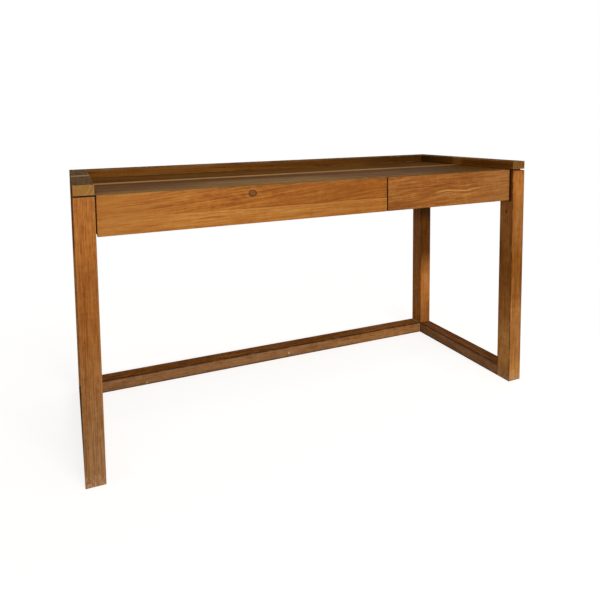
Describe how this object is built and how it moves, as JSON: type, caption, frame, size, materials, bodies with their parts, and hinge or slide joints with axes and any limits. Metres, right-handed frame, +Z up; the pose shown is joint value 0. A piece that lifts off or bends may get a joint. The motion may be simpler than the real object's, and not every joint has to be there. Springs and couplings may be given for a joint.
{
  "type": "writing desk",
  "caption": "Sled-frame wooden writing desk with a low gallery rail round the top and a long and a short handleless drawer side by side.",
  "frame": {"origin": "on the floor, at the middle of the desk's plan", "axes": "+X to the sitter's right along the desk, +Y from the sitter to the back, +Z up"},
  "size_m": [1.42, 0.5, 0.75],
  "materials": {
    "frame_teak": "satin oil",
    "top_teak": "polished lacquer",
    "stave_wood": "polished lacquer",
    "front_teak": "satin oil",
    "inner_wood": "sawn and sanded",
    "drawer_plywood": "sanded",
    "spacer_wood": "stained",
    "dowel_wood": "turned",
    "screw_steel": "zinc plated"
  },
  "bodies": {
    "frame": {"left_front_leg": "frame_teak", "right_front_leg": "frame_teak", "left_back_leg": "frame_teak", "right_back_leg": "frame_teak", "left_floor_rail": "frame_teak", "right_floor_rail": "frame_teak", "back_stretcher": "frame_teak", "left_side_apron": "frame_teak", "right_side_apron": "frame_teak", "back_apron": "frame_teak", "left_gallery_rail": "frame_teak", "right_gallery_rail": "frame_teak", "back_gallery_rail": "frame_teak", "top_front_board": "top_teak", "top_back_board": "top_teak", "top_pale_stave": "stave_wood", "left_cleat": "inner_wood", "right_cleat": "inner_wood", "back_cleat": "inner_wood", "front_top_rail": "inner_wood", "drawer_divider": "inner_wood", "left_drawer_guide": "inner_wood", "right_drawer_guide": "inner_wood", "long_drawer_left_runner": "inner_wood", "long_drawer_right_runner": "inner_wood", "short_drawer_left_runner": "inner_wood", "short_drawer_right_runner": "inner_wood", "long_drawer_stop": "inner_wood", "short_drawer_stop": "inner_wood", "leg_top_spacers": "spacer_wood", "top_screws": "screw_steel", "guide_screws": "screw_steel", "runner_screws": "screw_steel", "stop_screws": "screw_steel", "divider_screws": "screw_steel", "gallery_dowels": "dowel_wood", "corner_dowels": "dowel_wood"},
    "long_drawer": {"long_drawer_front": "front_teak", "long_drawer_left_side": "inner_wood", "long_drawer_right_side": "inner_wood", "long_drawer_back": "inner_wood", "long_drawer_bottom": "drawer_plywood", "long_drawer_screws": "screw_steel"},
    "short_drawer": {"short_drawer_front": "front_teak", "short_drawer_left_side": "inner_wood", "short_drawer_right_side": "inner_wood", "short_drawer_back": "inner_wood", "short_drawer_bottom": "drawer_plywood", "short_drawer_screws": "screw_steel"}
  },
  "joints": [
    {"name": "long_drawer_slide", "type": "slide", "parent": "frame", "child": "long_drawer", "axis": [0, -1, 0], "range_m": [0, 0.3]},
    {"name": "short_drawer_slide", "type": "slide", "parent": "frame", "child": "short_drawer", "axis": [0, -1, 0], "range_m": [0, 0.3]}
  ]
}
